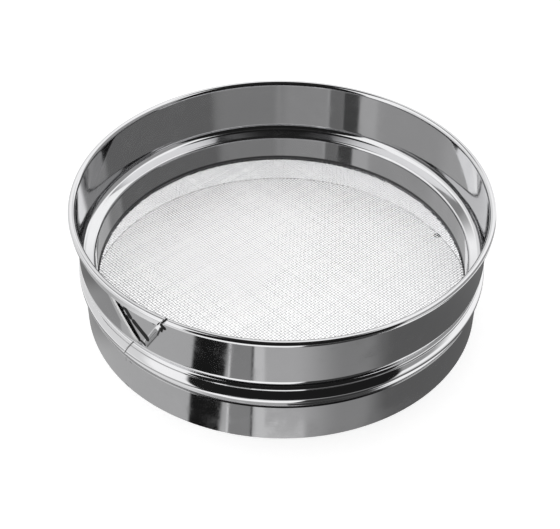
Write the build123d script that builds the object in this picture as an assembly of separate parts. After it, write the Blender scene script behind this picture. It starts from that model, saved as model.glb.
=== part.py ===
"""Laboratory test sieve: a pressed upper frame, a beaded lower frame and the woven cloth gripped between them.

Millimetres, +Z up. The origin is at the bottom centre, on the surface that the sieve stands on.
Azimuths are degrees about +Z from +X, so the lap seam faces the front left.
"""
from build123d import *
from math import cos, hypot, radians, sin, sqrt
import os

# Driving dimensions
bore_radius = 100.0            # the nominal 200 mm sieve: inside of the upper wall
sheet = 0.5                    # both frames are rolled from sheet of this thickness
cloth_sheet = 0.6              # the cloth's body, without the ridges of its wires
overall_height = 64.5
skirt_outer_radius = 99.5      # enters the upper wall of the next sieve with 0.5 mm to spare
throat_radius = 93.0           # inside of the narrow wall above the cloth

# Upper frame
rim_width = 3.5                # how far the rolled rim stands out from the bore
rim_height = 3.0
rim_corner = 0.94              # radius of the sheet's midline round the roll's two outer corners
rim_shoulder = 1.75            # and where the wall turns out into the roll
rim_curl_gap = 0.5             # between the roll's free edge and the wall
ledge_outer_z = 35.2           # midline where the ledge would meet the upper wall
ledge_inner_z = 33.0           # midline where the ledge would meet the throat
wall_bend = 4.0
throat_bend = 1.4
throat_foot_z = 18.8

# Sleeve: at the lap, the left end of the rim is opened out over the right end
sleeve_growth = 0.35
sleeve_from = 196.0
sleeve_to = 240.0

# Lap seam: the left end of the strip is cut on a slant, and the joggled right end passes behind it,
# far enough out to leave room for the spigot of the next sieve
lap_top_left = 218.3           # azimuths of the slanted edge
lap_foot_left = 230.3
lap_top_right = 241.0          # and of the joggle
lap_foot_right = 233.2
lap_foot_z = 38.4
lap_top_z = 61.1
tongue_inner_radius = 99.55
tongue_outer_radius = 100.05   # pressed a little way into the wall that it is joined to
tongue_from = 208.0            # free end of the joggled strip, inside the sieve
joggle_radius = 100.28         # outside of the step between the tongue and the wall
joggle_width = 1.2
joggle_lap = 0.8               # how far the tongue and the step run on behind the wall
lap_azimuth = (lap_top_left + lap_top_right) / 2

# Lower frame
bead_top_radius = 99.9         # midline corners of the bead
bead_outer_radius = 101.9
bead_outer_z = 27.6
bead_foot_z = 21.4
bead_shoulder = 1.3
bead_round = 6.0
bead_crease = 0.8
lip_reach = 0.6                # the lip's midline ends this far inside the throat
lip_bend = 0.45
seam_azimuth = 223.6           # butt seam of the lower frame
seam_width = 0.5
seam_depth = 0.15              # the seam lies this far below the sheet, inside and out

# Cloth: its wires are gathered in pairs, with openings between them
cloth_top_z = throat_foot_z
cloth_radius = 93.3            # its edge lies between the upper frame's foot and the lower frame's lip
weave_radius = 91.6            # a plain margin lies outside this
weave_turn = 43.0              # the wires' direction, degrees from +X
gaps_across = 12
gap_pitch = 15.2
gap_side = 10.0
wire_spacing = 2.6             # between the two wires of a pair
ridge_width = 1.3
ridge_height = 0.25


def sheet_section(corners, radii, thickness):
    """The closed section of a bent sheet, from its midline's corners on the X-Z half plane."""
    points = [(r, z) for r, z in corners]
    midline = FilletPolyline(*points, radius=radii)
    outline = offset(midline, amount=thickness / 2, kind=Kind.ARC, side=Side.BOTH)
    return Plane.XZ * make_face(outline)


def ring(section):
    return revolve(section, axis=Axis.Z, revolution_arc=360)


def ledge_line(radius, drop):
    """Height of the ledge's midline at a radius, lowered square to itself by drop."""
    slope = (ledge_outer_z - ledge_inner_z) / (bore_radius - throat_radius)
    return ledge_outer_z + slope * (radius - bore_radius - sheet / 2) - drop * hypot(1, slope)


def rim_corners(growth):
    """Midline of the roll, from its free edge to the top of its outer side."""
    outside = bore_radius + rim_width - sheet / 2 + growth
    top = overall_height - sheet / 2
    bottom = overall_height - rim_height + sheet / 2 - growth
    free_edge = bore_radius + sheet + rim_curl_gap
    return [(free_edge, bottom), (outside, bottom), (outside, top)]


def sector(inner, outer, low, high, start, end):
    """Part of a tube between two azimuths."""
    section = Plane.XZ * (Pos((inner + outer) / 2, (low + high) / 2) * Rectangle(outer - inner, high - low))
    return Rot(0, 0, start) * revolve(section, axis=Axis.Z, revolution_arc=end - start)


def lap_plane(radius):
    """A plane square to the radius at the lap seam, with X towards greater azimuths and Y up."""
    outward = Vector(cos(radians(lap_azimuth)), sin(radians(lap_azimuth)), 0)
    return Plane(origin=outward * radius, x_dir=Vector(-outward.Y, outward.X, 0), z_dir=outward)


def on_lap(azimuth, z):
    """A point of the wall's outside, in the coordinates of the lap plane."""
    return ((bore_radius + sheet) * sin(radians(azimuth - lap_azimuth)), z)


def lap_prism(corners):
    """A prism through the wall at the seam."""
    return extrude(lap_plane(bore_radius - 8) * make_face(Polyline(*corners, close=True)), amount=16)


def lap_window():
    """The V between the slanted edge and the joggle."""
    return lap_prism([
        on_lap(lap_top_left, lap_top_z),
        on_lap(lap_foot_left, lap_foot_z),
        on_lap(lap_foot_right, lap_foot_z),
        on_lap(lap_top_right, lap_top_z),
    ])


def lap_band(inner, outer, shift):
    """The strip behind the window, as far as the joggle's line moved round by shift."""
    strip = sector(inner, outer, lap_foot_z - 0.2, lap_top_z + 0.4, tongue_from, lap_top_right + 2.0)
    x_low, z_low = on_lap(lap_foot_right, lap_foot_z)
    x_high, z_high = on_lap(lap_top_right, lap_top_z)
    beyond = lap_prism([
        (x_low + shift, z_low - 3),
        (x_low + shift, z_low),
        (x_high + shift, z_high),
        (x_high + shift, z_high + 3),
        (x_high + 12, z_high + 3),
        (x_high + 12, z_low - 3),
    ])
    return strip - beyond


def lap_tongue():
    """The joggled end of the strip: set in behind the wall, and seen through the window."""
    return lap_band(tongue_inner_radius, tongue_outer_radius, joggle_lap)


def lap_joggle():
    """The slanted step that joins the wall to the tongue."""
    middle = (tongue_inner_radius + tongue_outer_radius) / 2
    return lap_band(middle, joggle_radius, joggle_lap) - lap_band(middle - 1, joggle_radius + 1, -joggle_width)


def rim_sleeve():
    """The left end of the rim's roll, opened out over the right end."""
    corners = rim_corners(sleeve_growth) + [(bore_radius + rim_shoulder, overall_height - sheet / 2)]
    section = sheet_section(corners, [rim_corner] * 2, sheet)
    return Rot(0, 0, sleeve_from) * revolve(section, axis=Axis.Z, revolution_arc=sleeve_to - sleeve_from)


def upper_frame():
    corners = rim_corners(0) + [
        (bore_radius + sheet / 2, overall_height - sheet / 2),
        (bore_radius + sheet / 2, ledge_outer_z),
        (throat_radius + sheet / 2, ledge_inner_z),
        (throat_radius + sheet / 2, throat_foot_z - 1),
    ]
    radii = [rim_corner, rim_corner, rim_shoulder, wall_bend, throat_bend]
    frame = ring(sheet_section(corners, radii, sheet))
    frame = split(frame, bisect_by=Plane.XY.offset(throat_foot_z), keep=Keep.TOP)
    frame -= lap_window()
    frame += lap_tongue()
    frame += lap_joggle()
    frame += rim_sleeve()
    return frame


def lower_frame():
    collar_radius = throat_radius + sheet * 3 / 2
    skirt_radius = skirt_outer_radius - sheet / 2
    lip_z = cloth_top_z - cloth_sheet - sheet / 2
    corners = [
        (throat_radius - lip_reach, lip_z),
        (collar_radius, lip_z),
        (collar_radius, ledge_line(collar_radius, sheet)),
        (bead_top_radius, ledge_line(bead_top_radius, sheet)),
        (bead_outer_radius, bead_outer_z),
        (skirt_radius, bead_foot_z),
        (skirt_radius, -1),
    ]
    radii = [lip_bend, throat_bend + sheet, bead_shoulder, bead_round, bead_crease]
    frame = ring(sheet_section(corners, radii, sheet))
    frame = split(frame, bisect_by=Plane.XY, keep=Keep.TOP)
    seam = Rot(0, 0, seam_azimuth) * (Pos(skirt_radius, 0, 0) * Box(20, seam_width, 2 * overall_height))
    weld = ring(sheet_section(corners, radii, sheet - 2 * seam_depth)) & seam
    return frame - seam + split(weld, bisect_by=Plane.XY, keep=Keep.TOP)


def wire_ridges(low_z, turn):
    """Pairs of straight ridges between the rows of gaps, each as long as the round weave lets it be."""
    height = cloth_sheet / 2 + ridge_height
    pairs = range(-gaps_across // 2, gaps_across // 2 + 1)
    ridges = []
    for across in [pair * gap_pitch + side * wire_spacing / 2 for pair in pairs for side in (-1, 1)]:
        edge = abs(across) + ridge_width / 2
        if edge < weave_radius:
            length = 2 * sqrt(weave_radius ** 2 - edge ** 2)
            ridge = Pos(0, across, low_z + height / 2) * Box(length, ridge_width, height)
            ridges.append(Rot(0, 0, turn) * ridge)
    return ridges


def mesh_gaps():
    """The square gaps that lie wholly inside the weave."""
    rows = [(number + 0.5) * gap_pitch for number in range(-gaps_across // 2, gaps_across // 2)]
    gaps = []
    for x in rows:
        for y in rows:
            if hypot(abs(x) + gap_side / 2, abs(y) + gap_side / 2) < weave_radius:
                gaps.append(Pos(x, y, 0) * Rectangle(gap_side, gap_side))
    return gaps


def wire_cloth():
    """The cloth, made with its wires along X and Y and then turned."""
    low_z = cloth_top_z - cloth_sheet
    plan = Circle(cloth_radius) - Sketch(mesh_gaps())
    cloth = extrude(Pos(0, 0, low_z) * plan, amount=cloth_sheet)
    cloth += wire_ridges(low_z + cloth_sheet / 2, 0)
    cloth += wire_ridges(low_z - ridge_height, 90)
    return Rot(0, 0, weave_turn) * cloth


parts = {
    "upper_frame": upper_frame(),
    "lower_frame": lower_frame(),
    "wire_cloth": wire_cloth(),
}
os.makedirs("parts", exist_ok=True)
for name, part in parts.items():
    export_step(part, f"parts/{name}.step")
    size = part.bounding_box().size
    print(name, len(part.solids()), "solid", round(part.volume), "mm3", [round(v, 2) for v in size])
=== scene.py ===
"""Looks of the laboratory test sieve: mirror-polished frames, woven wire cloth and a plain studio."""
import math

import bmesh
import bpy
from mathutils import Matrix, Vector


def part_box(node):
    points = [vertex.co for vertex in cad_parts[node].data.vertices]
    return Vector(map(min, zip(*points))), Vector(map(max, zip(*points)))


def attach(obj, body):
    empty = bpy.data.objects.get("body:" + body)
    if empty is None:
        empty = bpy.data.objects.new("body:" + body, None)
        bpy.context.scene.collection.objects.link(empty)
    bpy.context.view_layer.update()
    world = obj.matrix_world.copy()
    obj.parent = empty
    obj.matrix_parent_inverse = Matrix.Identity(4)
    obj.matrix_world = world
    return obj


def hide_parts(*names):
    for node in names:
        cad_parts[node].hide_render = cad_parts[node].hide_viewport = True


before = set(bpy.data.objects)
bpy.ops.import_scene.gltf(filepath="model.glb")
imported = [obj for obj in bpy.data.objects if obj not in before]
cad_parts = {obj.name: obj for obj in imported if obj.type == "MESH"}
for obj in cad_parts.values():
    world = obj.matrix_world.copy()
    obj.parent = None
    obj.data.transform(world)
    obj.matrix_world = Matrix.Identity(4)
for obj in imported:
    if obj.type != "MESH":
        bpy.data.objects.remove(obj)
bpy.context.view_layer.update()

MM = 0.001
BODY = "root"

# Sizes of the frames, in millimetres. BORE, SKIRT, THROAT and the BEAD's first two are radii.
# The rim's tuck, the neck and the crease are finer than the solids have them.
BORE = 100.0
SHEET = 0.5
HEIGHT = 64.5
SKIRT = 99.5             # outside
THROAT = 93.0
RIM_WIDTH = 3.5
RIM_HEIGHT = 3.0
RIM_CORNER = 0.94
RIM_SHOULDER = 1.75
RIM_GAP = 0.5
RIM_TUCK = 0.14          # the rim's side leans in by this share of its height
LEDGE_OUTER_Z = 35.2
LEDGE_INNER_Z = 33.0
WALL_BEND = 4.0
THROAT_BEND = 1.4
FOOT_Z = 18.8
BEAD_TOP = 99.9
BEAD_OUTER = 101.9
BEAD_OUTER_Z = 27.6
BEAD_FOOT_Z = 21.4
BEAD_SHOULDER = 1.3
BEAD_ROUND = 6.0
NECK_DEPTH = 0.14        # the flange is nipped in a little above the bead
NECK_Z = 31.9
NECK_ROUND = 0.8
CREASE_DEPTH = 0.25      # the skirt is nipped in a little under the bead
CREASE_HEIGHT = 0.9
CREASE_INNER_ROUND = 0.3
CREASE_OUTER_ROUND = 0.6
LIP_REACH = 0.6
LIP_BEND = 0.45

# Lap seam of the upper frame, azimuths in degrees
LAP_LEFT = 218.3
LAP_RIGHT = 241.0
FOOT_LEFT = 230.3
FOOT_RIGHT = 233.2
LAP_FOOT_Z = 38.4
LAP_TOP_Z = 61.1
LAP_SHEAR = 30.0         # the columns beside the lap lean over this many degrees
EDGE_FLARE = 0.4         # the slanted edge stands out by this much
FLARE_WIDTH = 2.6        # degrees
FLARE_RISE = 4.0         # and reaches it this far above its foot
EDGE_SLANT = 0.75        # width of the raw edge, degrees
EDGE_RISE = 2.0          # the raw edge reaches that width this far above its foot
EDGE_PROUD = 0.02        # degrees that keep the raw edge in front of the wall's end face
TONGUE_END = 208.0
TONGUE_LAP = 1.2         # how far the tongue is seen to bend under the slanted edge, degrees
TONGUE_DEPTH = 0.75
TONGUE_GAP = 0.02        # between the tongue and the sheet that it bends under
TONGUE_INSET = 0.03      # the tongue's face starts this far under the wall's
TONGUE_MARGIN = 0.3      # the tongue runs on behind the window by this much at the top and the foot
JOGGLE = 4.6             # width of the step between the wall and the tongue
JOGGLE_MARGIN = 0.5      # degrees that the step and the window run on behind the wall
JOGGLE_SPAN = 1.9        # degrees with finer facets, beside the step

# Sleeve of the rim at the lap
SLEEVE_START = 175.0
SLEEVE_FULL = 222.0
SLEEVE_END = 240.6
SLEEVE_OUT = 0.3
SLEEVE_DOWN = 2.2
SLEEVE_LEAN = 1.9        # its end slants over this many degrees
SLEEVE_LEAN_REACH = 9.0  # and the columns beside it lean, over this many degrees
SLEEVE_LIP = 0.06        # degrees over which the end face turns in
SLEEVE_MOUTH = 0.5       # degrees from there to where the covered roll comes out

# Dark strokes on the outside, in folds and along seams: azimuth and height of both ends, half width and
# strength. The upper frame's are painted shade in the folds and gaps of the lap and at the rim sleeve's end.
# The lower frame's are the dark line of the butt seam and small strokes beside it; its last one is painted
# shade round the crease under the bead.
LAP_PAINTED_SHADE = [
    (223.5, 52.9, 224.9, 53.0, 0.8, 1.0),
    (225.9, 54.0, 227.6, 50.9, 1.5, 1.0),
    (226.3, 49.4, 230.2, 41.0, 1.2, 1.0),
    (230.6, 39.9, 232.6, 39.7, 0.9, 1.0),
    (229.0, 49.4, 233.5, 44.3, 1.65, 1.0),
    (233.5, 39.4, 237.4, 50.6, 0.3, 0.85),
    (237.4, 50.6, 238.5, 55.6, 0.5, 0.95),
    (234.0, 43.6, 236.8, 51.6, 0.22, 0.8),
    (233.2, 41.0, 237.0, 52.4, 1.3, 0.55),
    (238.9, 57.6, 239.7, 56.8, 1.1, 1.0),
    (238.7, 54.3, 239.0, 56.0, 0.8, 1.0),
    (235.8, 56.2, 236.1, 55.8, 0.6, 0.8),
    (239.2, 60.0, 240.7, 63.6, 0.45, 1.0),
    (240.7, 63.6, 241.2, 64.6, 0.45, 1.0),
]
SEAM_MARKS_AND_CREASE_SHADE = [
    (227.4, 34.6, 226.2, 31.0, 0.25, 0.9),
    (226.2, 31.0, 225.3, 27.4, 0.25, 0.9),
    (225.3, 27.4, 223.7, 23.4, 0.22, 0.8),
    (223.6, 21.6, 223.6, 18.0, 0.25, 0.35),
    (223.4, 0.2, 222.3, 0.6, 0.5, 0.5),
    (225.4, 19.6, 225.8, 19.4, 0.45, 0.45),
    # painted shade round the crease under the bead
    (181.0, 21.1, 359.0, 21.1, 0.45, 0.6),
]
THROAT_PAINTED_SHADE = (18.3, 20.7, 0.85)    # painted shade: a dark band on the throat where it meets the cloth: from, to, strength
CLOTH_SPOT = (81.7, 26.0, 1.5)       # a dull spot on the cloth: x, y, radius

# Butt seam of the lower frame
SEAM = 223.6
SEAM_WIDTH = 0.5
SEAM_BANK = 1.3          # the seam's sides reach out to this many half widths
SEAM_DEPTH = 0.05
SEAM_LEAN = 3.8          # degrees that the seam moves round from the bead's foot to its top
SEAM_LEAN_FROM = 23.4
SEAM_LEAN_TO = 34.6
SEAM_LEAN_REACH = 15.0   # degrees to each side

# Wire cloth
PITCH = 1.411            # 18 wires to the inch
WIRE = 0.46
CLOTH_RADIUS = 93.3
WEAVE_TURN = 43.0
WIRE_SIDES = 6
RIDGE = 0.25             # the CAD cloth's ridges stand out from its body by this much

# Facets
COLUMNS = 400            # round each frame
COLUMN_GAP = 0.3         # degrees kept clear beside a column that a seam needs
LAP_ROWS = 14            # up the slanted edge
FOOT_PARTS = 4           # across the foot of the window
TONGUE_ROWS = 24
STEP_PARTS = 14          # across the joggle
WINDOW_PARTS = 40        # across the window
HIDDEN_PARTS = 8         # and on to the tongue's hidden end
ARC_STEP = math.radians(8)
SHARP_ANGLE = math.radians(35)
MERGE_DIGITS = 5         # corners whose millimetres agree to this many decimals are one


# ---------------------------------------------------------------- sections

def fillet_path(corners, radii):
    """Points and left-hand normals along a polyline in (r, z), with its corners rounded."""
    path = []

    def add(point, direction):
        path.append((point, Vector((-direction.y, direction.x))))

    corners = [Vector(corner) for corner in corners]
    add(corners[0], (corners[1] - corners[0]).normalized())
    for before, corner, after, radius in zip(corners, corners[1:], corners[2:], radii):
        arriving = (corner - before).normalized()
        leaving = (after - corner).normalized()
        turn = math.atan2(arriving.x * leaving.y - arriving.y * leaving.x, arriving.dot(leaving))
        start = corner - arriving * radius * math.tan(abs(turn) / 2)
        side = 1 if turn > 0 else -1
        centre = start + Vector((-arriving.y, arriving.x)) * radius * side
        steps = max(2, math.ceil(abs(turn) / ARC_STEP))
        for step in range(steps + 1):
            rotation = Matrix.Rotation(turn * step / steps, 2)
            add(centre + rotation @ (start - centre), rotation @ arriving)
    add(corners[-1], (corners[-1] - corners[-2]).normalized())
    return path


def both_sides(path, thickness):
    """The two faces of a sheet along its midline: (left side, right side), as lists of points."""
    left = [point + normal * thickness / 2 for point, normal in path]
    right = [point - normal * thickness / 2 for point, normal in path]
    return left, right


def ledge_line(radius, drop):
    """Height of the ledge's midline at a radius, lowered square to itself by drop."""
    slope = (LEDGE_OUTER_Z - LEDGE_INNER_Z) / (BORE - THROAT)
    return LEDGE_OUTER_Z + slope * (radius - BORE - SHEET / 2) - drop * math.hypot(1, slope)


# ---------------------------------------------------------------- meshes

class Shell:
    """Quads whose corners are shared wherever they meet."""

    def __init__(self):
        self.points = []
        self.numbers = {}
        self.faces = []

    def point(self, position):
        key = tuple(round(value, MERGE_DIGITS) for value in position)
        if key not in self.numbers:
            self.numbers[key] = len(self.points)
            self.points.append(tuple(value * MM for value in position))
        return self.numbers[key]

    def face(self, *positions):
        numbers = []
        for position in positions:
            number = self.point(position)
            if number not in numbers:
                numbers.append(number)
        if len(numbers) > 2:
            self.faces.append(numbers)

    def grid(self, rows, close_rows=False, close_columns=False):
        count = len(rows)
        width = len(rows[0])
        for i in range(count if close_rows else count - 1):
            for j in range(width if close_columns else width - 1):
                below = rows[(i + 1) % count]
                k = (j + 1) % width
                self.face(rows[i][j], rows[i][k], below[k], below[j])

    def object(self, name):
        mesh = bpy.data.meshes.new(name)
        mesh.from_pydata(self.points, [], self.faces)
        work = bmesh.new()
        work.from_mesh(mesh)
        bmesh.ops.recalc_face_normals(work, faces=work.faces)
        for edge in work.edges:
            edge.smooth = len(edge.link_faces) == 2 and edge.calc_face_angle(0) < SHARP_ANGLE
        for face in work.faces:
            face.smooth = True
        work.to_mesh(mesh)
        work.free()
        made = bpy.data.objects.new(name, mesh)
        bpy.context.collection.objects.link(made)
        return made


def weighted(piece):
    """Flat stretches keep their own normals where they run into a bend."""
    modifier = piece.modifiers.new("weighted", "WEIGHTED_NORMAL")
    modifier.keep_sharp = True
    return piece


def place(radius, azimuth, z):
    angle = math.radians(azimuth)
    return (radius * math.cos(angle), radius * math.sin(angle), z)


def round_columns(*extra):
    """Azimuths once round, with the ones that a seam needs."""
    even = [360.0 * number / COLUMNS for number in range(COLUMNS)]
    clear = [azimuth for azimuth in even if all(abs(azimuth - other) > COLUMN_GAP for other in extra)]
    return sorted(clear + list(extra))


def spread(start, end, parts):
    """Evenly spaced values from start, which is left out, to end."""
    return [start + (end - start) * part / parts for part in range(1, parts + 1)]


def smooth_step(value):
    value = min(1.0, max(0.0, value))
    return value * value * (3 - 2 * value)


# ---------------------------------------------------------------- upper frame

def lap_edges(z):
    """Azimuths of the slanted edge and of the joggle at a height."""
    rise = min(1.0, max(0.0, (z - LAP_FOOT_Z) / (LAP_TOP_Z - LAP_FOOT_Z)))
    return FOOT_LEFT + (LAP_LEFT - FOOT_LEFT) * rise, FOOT_RIGHT + (LAP_RIGHT - FOOT_RIGHT) * rise


def wall_columns(z):
    """Azimuths from the joggle once round to the slanted edge."""
    left, right = lap_edges(z)
    span = 360.0 + FOOT_LEFT - FOOT_RIGHT
    columns = []
    for number in range(COLUMNS + 1):
        turn = span * number / COLUMNS
        lean = (right - FOOT_RIGHT) * max(0.0, 1 - turn / LAP_SHEAR)
        lean += (left - FOOT_LEFT) * max(0.0, 1 - (span - turn) / LAP_SHEAR)
        columns.append(FOOT_RIGHT + turn + lean)
    return columns


def flare(azimuth, z):
    """How far the sheet beside the slanted edge stands out."""
    left, _ = lap_edges(z)
    before = (left + 360.0 - azimuth) / FLARE_WIDTH
    rise = smooth_step((z - LAP_FOOT_Z) / FLARE_RISE)
    return EDGE_FLARE * rise * smooth_step(1 - before)


def lap_height(row):
    """Height of a row of facets, counted down from the top of the slanted edge."""
    return LAP_TOP_Z + (LAP_FOOT_Z - LAP_TOP_Z) * row / LAP_ROWS


def wall_and_throat(shell):
    """The sheet from the roll down to the throat's foot, open at the window of the lap."""
    middle = BORE + SHEET / 2
    inner = THROAT + SHEET / 2
    straight = [(Vector((middle, lap_height(row))), Vector((1, 0))) for row in range(LAP_ROWS)]
    bends = fillet_path(
        [(middle, LAP_FOOT_Z), (middle, LEDGE_OUTER_Z), (inner, LEDGE_INNER_Z), (inner, FOOT_Z)],
        [WALL_BEND, THROAT_BEND],
    )
    left, right = both_sides(straight + bends, SHEET)
    loop = left + right[::-1]
    heights = [point.y for point, _ in straight + bends]
    heights = heights + heights[::-1]
    grid = []
    for (radius, z), height in zip(loop, heights):
        grid.append([place(radius + flare(azimuth, height), azimuth, z) for azimuth in wall_columns(height)])
    shell.grid(grid, close_rows=True)
    for row in range(LAP_ROWS):
        far = len(loop) - 1 - row
        for end in (0, -1):
            shell.face(grid[row][end], grid[row + 1][end], grid[far - 1][end], grid[far][end])
    foot = [FOOT_LEFT] + spread(FOOT_LEFT, FOOT_RIGHT, FOOT_PARTS)
    below = left[LAP_ROWS:] + right[LAP_ROWS:][::-1]
    shell.grid([[place(radius, azimuth, z) for azimuth in foot] for radius, z in below], close_rows=True)


def cut_edge(shell):
    """The raw edge of the strip, sheared at a slant, in front of the wall's own end face."""
    outer, inner = [], []
    for row in range(LAP_ROWS + 1):
        z = lap_height(row)
        left, _ = lap_edges(z)
        out = flare(left + 360.0, z)
        slant = EDGE_SLANT * smooth_step((z - LAP_FOOT_Z) / EDGE_RISE)
        outer.append(place(BORE + SHEET + out, left + EDGE_PROUD, z))
        inner.append(place(BORE + out, left + slant, z))
    shell.grid([outer, inner])


def rim_section(out, down):
    """The roll's closed section, opened out and down by these amounts."""
    outside = BORE + RIM_WIDTH - SHEET / 2 + out
    top = HEIGHT - SHEET / 2
    bottom = HEIGHT - RIM_HEIGHT + SHEET / 2 - down
    corners = [
        (BORE + SHEET / 2, LAP_TOP_Z),
        (BORE + SHEET / 2, top),
        (outside, top),
        (outside - RIM_TUCK * (top - bottom), bottom),
        (BORE + SHEET + RIM_GAP, bottom),
    ]
    left, right = both_sides(fillet_path(corners, [RIM_SHOULDER, RIM_CORNER, RIM_CORNER]), SHEET)
    return left + right[::-1]


def rim(shell):
    """The flattened roll. Its left end is a sleeve over the right end."""
    lip = SLEEVE_END + SLEEVE_LIP
    clear = SLEEVE_END + 2 * SLEEVE_MOUTH
    rows = []
    for azimuth in round_columns(SLEEVE_END, lip, lip + SLEEVE_MOUTH, clear):
        if azimuth <= SLEEVE_END:
            share = smooth_step((azimuth - SLEEVE_START) / (SLEEVE_FULL - SLEEVE_START))
            section = rim_section(SLEEVE_OUT * share, SLEEVE_DOWN * share)
        else:
            section = rim_section(-SLEEVE_OUT if azimuth < clear else 0.0, 0.0)
        lean = SLEEVE_LEAN * max(0.0, 1 - abs(azimuth - SLEEVE_END) / SLEEVE_LEAN_REACH)
        rows.append([
            place(radius, azimuth - lean * min(1.0, (HEIGHT - z) / RIM_HEIGHT), z) for radius, z in section])
    shell.grid(rows, close_rows=True, close_columns=True)


def tongue_depth(azimuth, z):
    """How far the joggled strip lies behind the wall's outside."""
    left, right = lap_edges(z)
    to_joggle = math.radians(right - azimuth) * BORE
    joggled = SHEET + (TONGUE_DEPTH - SHEET) * smooth_step((right - azimuth) / (right - left))
    depth = joggled * smooth_step(to_joggle / JOGGLE)
    behind = (azimuth - left) / TONGUE_LAP
    if behind < 1:
        depth = SHEET + TONGUE_GAP + (depth - SHEET) * smooth_step(behind)
    return depth + TONGUE_INSET


def tongue(shell):
    """The joggled end of the strip, behind the window."""
    outer, inner = [], []
    low, high = LAP_FOOT_Z - TONGUE_MARGIN, LAP_TOP_Z + TONGUE_MARGIN
    for z in [low] + spread(low, high, TONGUE_ROWS):
        left, right = lap_edges(z)
        start = right + JOGGLE_MARGIN
        hidden = left - JOGGLE_MARGIN
        azimuths = [start] + spread(start, start - JOGGLE_SPAN, STEP_PARTS)
        azimuths += spread(start - JOGGLE_SPAN, hidden, WINDOW_PARTS)
        azimuths += spread(hidden, TONGUE_END, HIDDEN_PARTS)
        radii = [BORE + SHEET - tongue_depth(azimuth, z) for azimuth in azimuths]
        outer.append([place(radius, azimuth, z) for radius, azimuth in zip(radii, azimuths)])
        inner.append([place(radius - SHEET, azimuth, z) for radius, azimuth in zip(radii, azimuths)])
    shell.grid(outer)
    shell.grid(inner)
    for end in (0, -1):
        shell.grid([outer[end], inner[end]])
        shell.grid([[row[end] for row in outer], [row[end] for row in inner]])


def upper_frame():
    """The pieces of polished sheet, and the raw edge."""
    made = []
    for name, build in (("upper_frame_sheet", wall_and_throat), ("rolled_rim", rim), ("lap_tongue", tongue)):
        shell = Shell()
        build(shell)
        made.append(weighted(shell.object(name)))
    raw = Shell()
    cut_edge(raw)
    return made, [raw.object("cut_edge")]


# ---------------------------------------------------------------- lower frame

def seam_lean(azimuth, z):
    """How far the columns beside the butt seam lean over, since it crosses the bead at a slant."""
    rise = min(1.0, max(0.0, (z - SEAM_LEAN_FROM) / (SEAM_LEAN_TO - SEAM_LEAN_FROM)))
    return SEAM_LEAN * rise * max(0.0, 1 - abs(azimuth - SEAM) / SEAM_LEAN_REACH)


def lower_frame():
    """One sheet: lip under the cloth, collar, flange under the ledge, bead and skirt."""
    collar = THROAT + SHEET * 3 / 2
    skirt = SKIRT - SHEET / 2
    lip_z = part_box("wire_cloth")[0].z / MM + RIDGE - SHEET / 2
    corners = [
        (THROAT - LIP_REACH, lip_z),
        (collar, lip_z),
        (collar, ledge_line(collar, SHEET)),
        (BEAD_TOP, ledge_line(BEAD_TOP, SHEET)),
        (BEAD_TOP - NECK_DEPTH, NECK_Z),
        (BEAD_OUTER, BEAD_OUTER_Z),
        (skirt - CREASE_DEPTH, BEAD_FOOT_Z),
        (skirt, BEAD_FOOT_Z - CREASE_HEIGHT),
        (skirt, 0.0),
    ]
    radii = [LIP_BEND, THROAT_BEND + SHEET, BEAD_SHOULDER, NECK_ROUND, BEAD_ROUND,
             CREASE_INNER_ROUND, CREASE_OUTER_ROUND]
    path = fillet_path(corners, radii)
    half = math.degrees(SEAM_WIDTH / SKIRT / 2)
    bank = half * SEAM_BANK
    rows = []
    for azimuth in round_columns(SEAM - bank, SEAM - half, SEAM + half, SEAM + bank):
        in_seam = abs(azimuth - SEAM) < (half + bank) / 2
        left, right = both_sides(path, SHEET - (2 * SEAM_DEPTH if in_seam else 0))
        rows.append([place(r, azimuth + seam_lean(azimuth, z), z) for r, z in left + right[::-1]])
    shell = Shell()
    shell.grid(rows, close_rows=True, close_columns=True)
    return [weighted(shell.object("lower_frame_sheet"))]


# ---------------------------------------------------------------- wire cloth

def wires(name, turn, phase):
    """All the wires one way, each over one crossing wire and under the next."""
    middle = FOOT_Z - WIRE
    reach = CLOTH_RADIUS - WIRE
    count = int(reach / PITCH)
    heading = math.radians(turn)
    along = Vector((math.cos(heading), math.sin(heading), 0))
    across = Vector((-along.y, along.x, 0))
    corners = []
    for side in range(WIRE_SIDES):
        angle = math.tau * (side + 0.5) / WIRE_SIDES
        corners.append((across * math.cos(angle) + Vector((0, 0, math.sin(angle)))) * WIRE / 2)
    points, faces = [], []
    for number in range(-count, count + 1):
        offset = number * PITCH
        half = math.sqrt(reach ** 2 - offset ** 2)
        crossings = int(half / PITCH)
        stations = [(-half, 0)]
        for k in range(-crossings, crossings + 1):
            stations.append((k * PITCH, 1 if (number + k + phase) % 2 == 0 else -1))
        stations.append((half, 0))
        rings = []
        for station, over in stations:
            centre = along * station + across * offset + Vector((0, 0, middle + over * WIRE / 2))
            rings.append(range(len(points), len(points) + WIRE_SIDES))
            points += [tuple((centre + corner) * MM) for corner in corners]
        for ring, following in zip(rings, rings[1:]):
            for side in range(WIRE_SIDES):
                k = (side + 1) % WIRE_SIDES
                faces.append((ring[side], ring[k], following[k], following[side]))
        faces.append(tuple(rings[0][::-1]))
        faces.append(tuple(rings[-1]))
    mesh = bpy.data.meshes.new(name)
    mesh.from_pydata(points, [], faces)
    mesh.polygons.foreach_set("use_smooth", [len(face) == 4 for face in faces])
    made = bpy.data.objects.new(name, mesh)
    bpy.context.collection.objects.link(made)
    return made


# ---------------------------------------------------------------- materials

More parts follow.
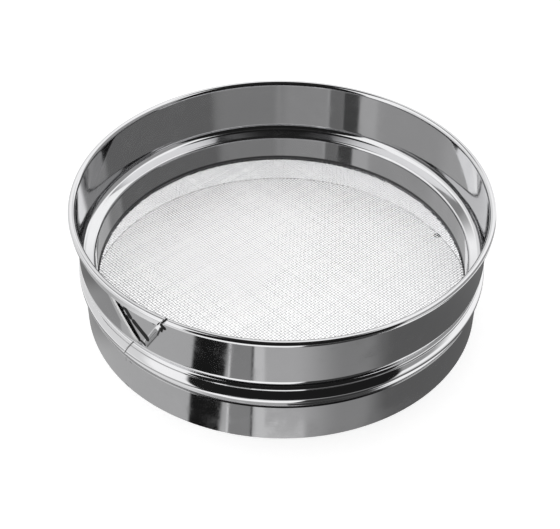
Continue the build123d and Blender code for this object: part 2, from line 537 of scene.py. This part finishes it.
SHEET_COLOUR = (0.70, 0.70, 0.71)
SHEET_SHADE = 0.97       # the darker patches of the sheet
# dark of the seam lines and of the painted shade in the lap, the crease and the throat
MARK_AND_SHADE_COLOUR = (0.012, 0.012, 0.012, 1)
MARK_AND_SHADE_ROUGHNESS = 0.45
HAZE = 0.05              # roughness of the clear patches
HAZE_RISE = 2.6          # and how many times that the hazy ones have
HAIR_ROUGHNESS = 0.05    # what the hairlines add
HAIRS = (90, 1500, 300)  # scale of the hairlines round the ring, up and out
HAIR_DEPTH = 0.000004
WAVES = 26.0
WAVE_DEPTH = 0.00004
SMUDGES = 70.0
STROKE_EDGE = 0.25       # half the width over which a dark stroke fades
SHADE_TOP_EDGE = 0.3         # and the top of the painted shade in the throat; its foot fades over the next value
SHADE_FOOT_FADE = 0.1
INNER_FACE = (0.4, 0.2)  # outside the throat, the painted shade fades out between these
CUT_COLOUR = (0.98, 0.98, 0.98, 1)
CUT_GRAIN = 1800.0
# colour of the duller wires, and of the painted shade towards +x
WIRE_DULL_AND_SHADED = (0.70, 0.70, 0.71, 1)
WIRE_BRIGHT = (0.94, 0.94, 0.94, 1)
SPOT_COLOUR = (0.05, 0.05, 0.05, 1)
SPOT_EDGE = 0.8
SPOT_STRENGTH = 0.85
LANES = (5, 330, 1)      # scale of the faint bands: along the wires and across them
LANE_SHARE = 0.75
PATCHES = 35.0
DRAWING = 2600.0         # the fine grain of drawn wire
DRAWING_DEPTH = 0.00001
CLOTH_SIDE_SHADE = (-0.02, 0.08, 1.0, 0.35)   # painted shade towards +x: the bright share falls from x to x in metres, from whole to this
WHITE = (1, 1, 1, 1)


class Nodes:
    """A short way to add nodes and join them."""

    def __init__(self, tree):
        self.tree = tree
        tree.nodes.clear()

    def add(self, kind, inputs=None, **settings):
        node = self.tree.nodes.new("ShaderNode" + kind)
        for name, value in settings.items():
            setattr(node, name, value)
        for name, value in (inputs or {}).items():
            if isinstance(value, bpy.types.NodeSocket):
                self.tree.links.new(value, node.inputs[name])
            else:
                node.inputs[name].default_value = value
        return node

    def math(self, operation, *values):
        return self.add("Math", dict(enumerate(values)), operation=operation).outputs[0]

    def vector(self, operation, inputs, output=0):
        return self.add("VectorMath", inputs, operation=operation).outputs[output]

    def fade(self, value, start, end, low=0.0, high=1.0):
        inputs = {"Value": value, "From Min": start, "From Max": end, "To Min": low, "To Max": high}
        return self.add("MapRange", inputs, interpolation_type="SMOOTHSTEP").outputs["Result"]

    def blend(self, share, first, second, kind="FLOAT"):
        return self.add("Mix", {"Factor": share, "A": first, "B": second}, data_type=kind).outputs["Result"]

    def noise(self, vector, scale, detail, roughness=0.5):
        inputs = {"Vector": vector, "Scale": scale, "Detail": detail, "Roughness": roughness}
        return self.add("TexNoise", inputs).outputs["Fac"]

    def glow(self, strength):
        return self.add("Emission", {"Color": WHITE, "Strength": strength}).outputs[0]

    def metal(self, **inputs):
        named = {name.replace("_", " "): value for name, value in inputs.items()}
        return self.add("BsdfPrincipled", named).outputs[0]

    def surface(self, shader):
        self.add("OutputMaterial", {"Surface": shader})


def new_material(name):
    material = bpy.data.materials.new(name)
    material.use_nodes = True
    return material, Nodes(material.node_tree)


def around_axis(nodes):
    """Coordinates on a frame's surface, in metres: the place itself, then round the axis, up, and out."""
    position = nodes.add("TexCoord").outputs["Object"]
    x, y, z = nodes.add("SeparateXYZ", {"Vector": position}).outputs
    arc = nodes.math("MULTIPLY", nodes.math("ARCTAN2", y, x), BORE * MM)
    squares = nodes.math("ADD", nodes.math("MULTIPLY", x, x), nodes.math("MULTIPLY", y, y))
    return position, arc, z, nodes.math("SQRT", squares)


def stroke(nodes, arc, z, dark_stroke):
    """How far a place lies within one dark stroke, from 0 to 1."""
    from_azimuth, from_z, to_azimuth, to_z, half, strength = dark_stroke
    ends = []
    for azimuth, height in ((from_azimuth, from_z), (to_azimuth, to_z)):
        angle = math.radians((azimuth + 180.0) % 360.0 - 180.0)
        ends.append(Vector((angle * BORE * MM, height * MM, 0)))
    span = ends[1] - ends[0]
    spot = nodes.add("CombineXYZ", {"X": arc, "Y": z, "Z": 0.0}).outputs[0]
    offset = nodes.vector("SUBTRACT", {0: spot, 1: tuple(ends[0])})
    share = nodes.vector("DOT_PRODUCT", {0: offset, 1: tuple(span / span.length_squared)}, "Value")
    share = nodes.math("MINIMUM", nodes.math("MAXIMUM", share, 0.0), 1.0)
    foot = nodes.vector("SCALE", {0: tuple(span), "Scale": share})
    away = nodes.vector("DISTANCE", {0: offset, 1: foot}, "Value")
    return nodes.fade(away, (half + STROKE_EDGE) * MM, max(0.0, half - STROKE_EDGE) * MM, 0.0, strength)


def marks_and_painted_shade(nodes, marks_and_shade, position, arc, z, out):
    """How dark a place is, from 0 to 1: the strokes on outward faces, seam lines and painted shade, and the
    painted shade inside the throat.
    """
    dark = 0.0
    for dark_stroke in marks_and_shade:
        dark = nodes.math("MAXIMUM", dark, stroke(nodes, arc, z, dark_stroke))
    normal = nodes.add("NewGeometry").outputs["True Normal"]
    outward = nodes.vector("DOT_PRODUCT", {0: normal, 1: position}, "Value")
    dark = nodes.math("MULTIPLY", dark, nodes.math("GREATER_THAN", outward, 0.0))
    # painted shade at the throat's foot, where it meets the cloth
    low, high, strength = THROAT_PAINTED_SHADE
    throat_shade = nodes.fade(z, (high + SHADE_TOP_EDGE) * MM, (high - SHADE_TOP_EDGE) * MM, 0.0, strength)
    above_foot = nodes.fade(z, (low - SHADE_FOOT_FADE) * MM, low * MM)
    inside = nodes.fade(out, *[(THROAT + gap) * MM for gap in INNER_FACE])
    for share in (above_foot, inside):
        throat_shade = nodes.math("MULTIPLY", throat_shade, share)
    return nodes.math("MAXIMUM", dark, throat_shade)


def polished(name, marks_and_shade):
    """Mirror-polished sheet: rolling waves, hairlines round the ring, patches of haze, dark seam lines and
    painted shade.
    """
    material, nodes = new_material(name)
    position, arc, z, out = around_axis(nodes)
    surface = nodes.add("CombineXYZ", {"X": arc, "Y": z, "Z": out}).outputs[0]
    hairs = nodes.noise(nodes.add("Mapping", {"Vector": surface, "Scale": HAIRS}).outputs[0], 1.0, 4.0)
    broad = nodes.noise(position, WAVES, 1.0)
    smudge = nodes.noise(position, SMUDGES, 6.0, 0.65)
    rough = nodes.fade(smudge, 0.42, 0.75, HAZE, HAZE * HAZE_RISE)
    rough = nodes.math("ADD", rough, nodes.fade(hairs, 0.55, 0.85, 0.0, HAIR_ROUGHNESS))
    waves = nodes.add("Bump", {"Height": broad, "Strength": 1.0, "Distance": WAVE_DEPTH}).outputs[0]
    fine = nodes.add("Bump", {"Height": hairs, "Strength": 0.25, "Distance": HAIR_DEPTH, "Normal": waves})
    shade = (*[value * SHEET_SHADE for value in SHEET_COLOUR], 1)
    tone = nodes.blend(nodes.fade(smudge, 0.35, 0.7), shade, (*SHEET_COLOUR, 1), "RGBA")
    dark = marks_and_painted_shade(nodes, marks_and_shade, position, arc, z, out)
    tone = nodes.blend(dark, tone, MARK_AND_SHADE_COLOUR, "RGBA")
    rough = nodes.math("MAXIMUM", rough, nodes.math("MULTIPLY", dark, MARK_AND_SHADE_ROUGHNESS))
    nodes.surface(nodes.metal(Base_Color=tone, Metallic=1.0, Roughness=rough, Normal=fine.outputs[0]))
    return material


def cut_metal():
    """The sheared edge: bright and grained, so it catches light from all round."""
    material, nodes = new_material("cut_edge")
    where = nodes.add("TexCoord").outputs["Object"]
    rough = nodes.fade(nodes.noise(where, CUT_GRAIN, 3.0), 0.3, 0.7, 0.45, 0.6)
    nodes.surface(nodes.metal(Base_Color=CUT_COLOUR, Metallic=0.2, Roughness=rough))
    return material


def bright_wire(name, turn):
    """Bright drawn wire. Some wires are a little duller than others, which shows as faint bands, and painted
    shade darkens the cloth towards +x.
    """
    material, nodes = new_material(name)
    where = nodes.add("TexCoord").outputs["Object"]
    along = nodes.add("Mapping", {"Vector": where, "Rotation": (0, 0, -math.radians(turn))}).outputs[0]
    lanes = nodes.add("Mapping", {"Vector": along, "Scale": LANES}).outputs[0]
    share = nodes.math("MULTIPLY", nodes.fade(nodes.noise(lanes, 1.0, 2.0), 0.32, 0.68), LANE_SHARE)
    patch = nodes.fade(nodes.noise(where, PATCHES, 3.0), 0.3, 0.7, 0.0, 1 - LANE_SHARE)
    share = nodes.math("ADD", share, patch)
    side = nodes.add("SeparateXYZ", {"Vector": where}).outputs["X"]
    # painted shade: the cloth is darker towards +x
    share = nodes.math("MULTIPLY", share, nodes.fade(side, *CLOTH_SIDE_SHADE))
    x, y, radius = CLOTH_SPOT
    away = nodes.vector("DISTANCE", {0: where, 1: (x * MM, y * MM, FOOT_Z * MM)}, "Value")
    spot = nodes.fade(away, (radius + SPOT_EDGE) * MM, radius * MM, 0.0, SPOT_STRENGTH)
    tone = nodes.blend(share, WIRE_DULL_AND_SHADED, WIRE_BRIGHT, "RGBA")
    tone = nodes.blend(spot, tone, SPOT_COLOUR, "RGBA")
    draw = nodes.noise(where, DRAWING, 2.0)
    rough = nodes.fade(draw, 0.3, 0.7, 0.22, 0.34)
    bump = nodes.add("Bump", {"Height": draw, "Strength": 0.2, "Distance": DRAWING_DEPTH}).outputs[0]
    nodes.surface(nodes.metal(Base_Color=tone, Metallic=1.0, Roughness=rough, Normal=bump))
    return material


# ---------------------------------------------------------------- studio

# Cards of the painted studio: name, azimuth and half width, elevation and half height, softness, brightness,
# and how many degrees the card moves round for each degree that it rises. Later cards cover earlier ones.
CARDS = [
    ("floor_far", 0, 180, -90, 52, 1.5, 0.5, 0),
    ("left_wall", 130, 72, 0, 33, 5, 0.92, 0),
    ("right_ledge_sees", 112, 17, 55, 14, 4, 0.3, 0),
    ("left_bend_sees", 5, 38, 21, 29, 3, 0.38, 0),
    ("floor_left", 115, 52, -39.9, 1.9, 0.8, 0.19, 0),
    ("floor_left_low", 115, 52, -42.7, 1.2, 0.8, 0.33, 0),
    ("floor_front_right", 326, 34, -45, 10, 16, 0.25, 0),
    ("floor_right", 28, 60, -45, 10, 9, 0.13, 0),
    ("under_light", 248, 37, -64, 14, 1.5, 1.3, 0),
    ("under_left", 171, 41, -61, 10, 3, 0.95, 0),
    ("under_right", 20, 50, -58, 8, 2, 1.2, 0),
    ("under_far", 8, 38, -75, 9, 2, 0.08, 0),
    ("under_far_right", 62, 14, -57, 9, 3, 0.28, 0),
    ("under_dark", 317, 31, -67, 17, 1.5, 0.05, 0),
    ("stand", 228, 10.5, -46, 5.5, 1.0, 0.012, 2),
    ("stand_edge", 247, 7, -46, 5.5, 1.0, 0.28, 0.5),
    ("thin_light", 240.8, 0.6, -46, 5.5, 0.4, 0.8, 1),
    ("pale_slot", 258.3, 3, -46, 5.5, 1.2, 0.68, 0),
    ("thin_dark", 254.3, 0.7, -46, 5.5, 0.4, 0.1, 0.5),
    ("dark_room", 277.5, 52.5, 12.5, 55.5, 1.5, 0.015, 0),
    ("ceiling", 0, 180, 90, 23, 3, 0.015, 0),
]
SKY = 1.25

# What the polished walls above the cloth see through the mirror over it, by the azimuth in which they look:
# azimuth, half width, softness, brightness
BOWL = [
    (146, 23, 6, 0.42),
    (190, 26, 8, 0.36),
    (220, 6, 1.5, 0.46),
    (230, 5, 1.0, 0.065),
    (239, 4.2, 1.0, 0.17),
    (258, 14, 1.2, 0.32),
    (291, 20, 6, 0.25),
    (352, 43, 5, 0.15),
    (42, 8, 4, 0.26),
]
BOWL_SIDE = 0.46
BOWL_FLOOR = 1.75
PLAIN_LIGHT = 0.8        # what falls on surfaces that scatter light

FLOOR_HALF = 6.0         # metres
FLOOR_COLOUR = (0.8, 0.8, 0.8, 1)
FLOOR_GLOW = 0.55        # lifts the floor to white for the camera, and keeps the shadow
DISC_SIDES = 96
GROUND_Z = 0.1
GROUND_GAP = 0.5         # between the pale ground and the skirt
MIRROR_RISE = 0.5        # the mirror lies this far over the cloth
MIRROR_GAP = 0.2         # and stays this far from the throat


def facing(nodes, azimuth, middle, half, soft):
    """How far a direction lies within half a width, in degrees, of a middle azimuth, from 0 to 1."""
    turn = nodes.math("SUBTRACT", azimuth, middle)
    turn = nodes.math("ABSOLUTE", nodes.math("WRAP", turn, math.pi, -math.pi))
    return nodes.fade(turn, math.radians(half + soft), math.radians(max(0.0, half - soft)))


def room_level(nodes, azimuth, elevation):
    """Brightness of the painted room in a direction."""
    level = SKY
    for _, middle, half, height, reach, soft, value, slant in CARDS:
        lift = nodes.math("SUBTRACT", elevation, math.radians(height))
        centre = nodes.math("ADD", math.radians(middle), nodes.math("MULTIPLY", lift, slant))
        high, low = math.radians(reach + soft), math.radians(reach - soft)
        mask = nodes.fade(nodes.math("ABSOLUTE", lift), high, low)
        if half < 180:
            mask = nodes.math("MULTIPLY", mask, facing(nodes, azimuth, centre, half, soft))
        level = nodes.blend(mask, level, value)
    return level


def bowl_level(nodes, azimuth):
    """Brightness that the bowl's walls see through the mirror over the cloth."""
    level = BOWL_SIDE
    for middle, half, soft, value in BOWL:
        level = nodes.blend(facing(nodes, azimuth, math.radians(middle), half, soft), level, value)
    return level


def studio_world():
    """White to the camera. Reflections see a bright sweep, a dark room and a grey ground, by direction."""
    world = bpy.data.worlds.new("studio")
    bpy.context.scene.world = world
    world.use_nodes = True
    nodes = Nodes(world.node_tree)
    direction = nodes.add("TexCoord").outputs["Generated"]
    x, y, z = nodes.add("SeparateXYZ", {"Vector": direction}).outputs
    azimuth = nodes.math("ARCTAN2", y, x)
    path = nodes.add("LightPath").outputs
    level = room_level(nodes, azimuth, nodes.math("ARCSINE", z))
    level = nodes.blend(path["Is Singular Ray"], level, bowl_level(nodes, azimuth))
    level = nodes.blend(path["Is Diffuse Ray"], level, PLAIN_LIGHT)
    level = nodes.blend(path["Is Camera Ray"], level, 1.0)
    back = nodes.add("Background", {"Color": level, "Strength": 1.0})
    nodes.add("OutputWorld", {"Surface": back.outputs[0]})


def flat_piece(name, corners):
    """One level face of the stage, with a material of its own."""
    mesh = bpy.data.meshes.new(name)
    mesh.from_pydata(corners, [], [tuple(range(len(corners)))])
    piece = bpy.data.objects.new(name, mesh)
    bpy.context.collection.objects.link(piece)
    material, nodes = new_material(name)
    mesh.materials.append(material)
    return piece, nodes


def studio_floor():
    """A pale floor that the camera sees and reflections don't."""
    side = FLOOR_HALF
    corners = [(-side, -side, 0), (side, -side, 0), (side, side, 0), (-side, side, 0)]
    floor, nodes = flat_piece("floor", corners)
    floor.visible_glossy = False
    seen = nodes.add("LightPath").outputs["Is Camera Ray"]
    diffuse = nodes.add("BsdfDiffuse", {"Color": FLOOR_COLOUR}).outputs[0]
    glow = nodes.glow(nodes.math("MULTIPLY", seen, FLOOR_GLOW))
    nodes.surface(nodes.add("AddShader", {0: diffuse, 1: glow}).outputs[0])


def glossy_disc(name, radius, z):
    """A level disc that only reflections see."""
    turns = [math.tau * side / DISC_SIDES for side in range(DISC_SIDES)]
    corners = [(radius * math.cos(turn) * MM, radius * math.sin(turn) * MM, z * MM) for turn in turns]
    disc, nodes = flat_piece(name, corners)
    disc.visible_camera = False
    disc.visible_diffuse = False
    disc.visible_shadow = False
    return nodes


def ground_below():
    """The pale ground inside the skirt."""
    nodes = glossy_disc("ground_below", SKIRT - SHEET - GROUND_GAP, GROUND_Z)
    nodes.surface(nodes.glow(BOWL_FLOOR))


def bowl_bottom():
    """A mirror over the cloth, so that the bowl's walls see the bands of BOWL; from below it is clear."""
    nodes = glossy_disc("bowl_bottom", THROAT - MIRROR_GAP, FOOT_Z + MIRROR_RISE)
    mirror = nodes.metal(Base_Color=WHITE, Metallic=1.0, Roughness=0.0)
    clear = nodes.add("BsdfTransparent").outputs[0]
    back = nodes.add("NewGeometry").outputs["Backfacing"]
    nodes.surface(nodes.add("MixShader", {0: back, 1: mirror, 2: clear}).outputs[0])


# Camera, as a view of the sieve from a little over 40 degrees
CAMERA_ELEVATION = 40.444
CAMERA_DISTANCE = 608.454
CAMERA_TARGET_Z = 25.0
CAMERA_PAN = 0.001267
CAMERA_TILT = -0.007086
CAMERA_ROLL = 0.012910
FOCAL_PIXELS = 1200.0
FRAME_WIDTH = 560.0
SENSOR_WIDTH = 36.0


def camera():
    """Aimed at the axis, then panned, tilted and rolled a little."""
    data = bpy.data.cameras.new("camera")
    data.sensor_width = SENSOR_WIDTH
    data.lens = SENSOR_WIDTH * FOCAL_PIXELS / FRAME_WIDTH
    made = bpy.data.objects.new("camera", data)
    bpy.context.collection.objects.link(made)
    rise = math.radians(CAMERA_ELEVATION)
    back = Vector((0, -math.cos(rise), math.sin(rise)))
    forward, right = -back, Vector((1, 0, 0))
    up = right.cross(forward)
    for axis, angle in ((up.copy(), CAMERA_PAN), (right.copy(), CAMERA_TILT)):
        turn = Matrix.Rotation(angle, 3, axis)
        forward, right, up = turn @ forward, turn @ right, turn @ up
    roll = Matrix.Rotation(-CAMERA_ROLL, 3, forward)
    right, up = roll @ right, roll @ up
    rotation = Matrix((right, up, -forward)).transposed()
    location = (back * CAMERA_DISTANCE + Vector((0, 0, CAMERA_TARGET_Z))) * MM
    made.matrix_world = Matrix.Translation(location) @ rotation.to_4x4()
    bpy.context.scene.camera = made


# ---------------------------------------------------------------- assembly

def dress(pieces, node, material):
    """Give pieces their material, join them to the body, and hide the solid that they stand for."""
    for piece in pieces:
        piece.data.materials.clear()
        piece.data.materials.append(material)
        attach(piece, BODY)
        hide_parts(node)


sheet_pieces, edge_pieces = upper_frame()
dress(sheet_pieces, "upper_frame", polished("polished_upper_sheet", LAP_PAINTED_SHADE))
dress(edge_pieces, "upper_frame", cut_metal())
dress(lower_frame(), "lower_frame", polished("polished_lower_sheet", SEAM_MARKS_AND_CREASE_SHADE))
for phase, way in enumerate(("warp", "weft")):
    turn = WEAVE_TURN + 90 * phase
    wire_piece = wires("cloth_" + way, turn, phase)
    dress([wire_piece], "wire_cloth", bright_wire("bright_" + way, turn))

studio_world()
studio_floor()
ground_below()
bowl_bottom()
camera()
bpy.context.scene.view_settings.view_transform = "Standard"
